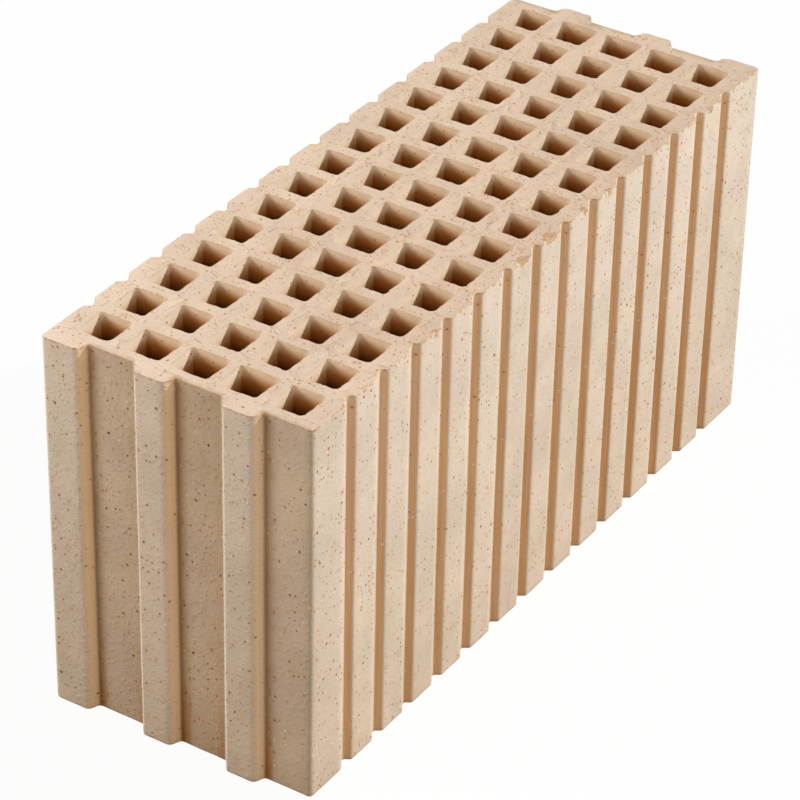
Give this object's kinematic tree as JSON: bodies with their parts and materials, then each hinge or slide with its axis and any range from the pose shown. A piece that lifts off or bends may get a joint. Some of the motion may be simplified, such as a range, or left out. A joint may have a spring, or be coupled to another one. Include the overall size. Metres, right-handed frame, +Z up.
{
  "type": "perforated clay block",
  "caption": "Hollow fired clay masonry block with upright through chambers, keyed ends and grooved long faces, laid in courses to make a wall.",
  "frame": {"origin": "centre of the lower bed face, on the surface that the block stands on", "axes": "+X along the length, +Y across the thickness, +Z up along the chambers"},
  "size_m": [0.498, 0.175, 0.249],
  "materials": {
    "fired_clay": "matt, unglazed, fired clay body"
  },
  "bodies": {
    "root": {"clay_block": "fired_clay"}
  },
  "joints": []
}
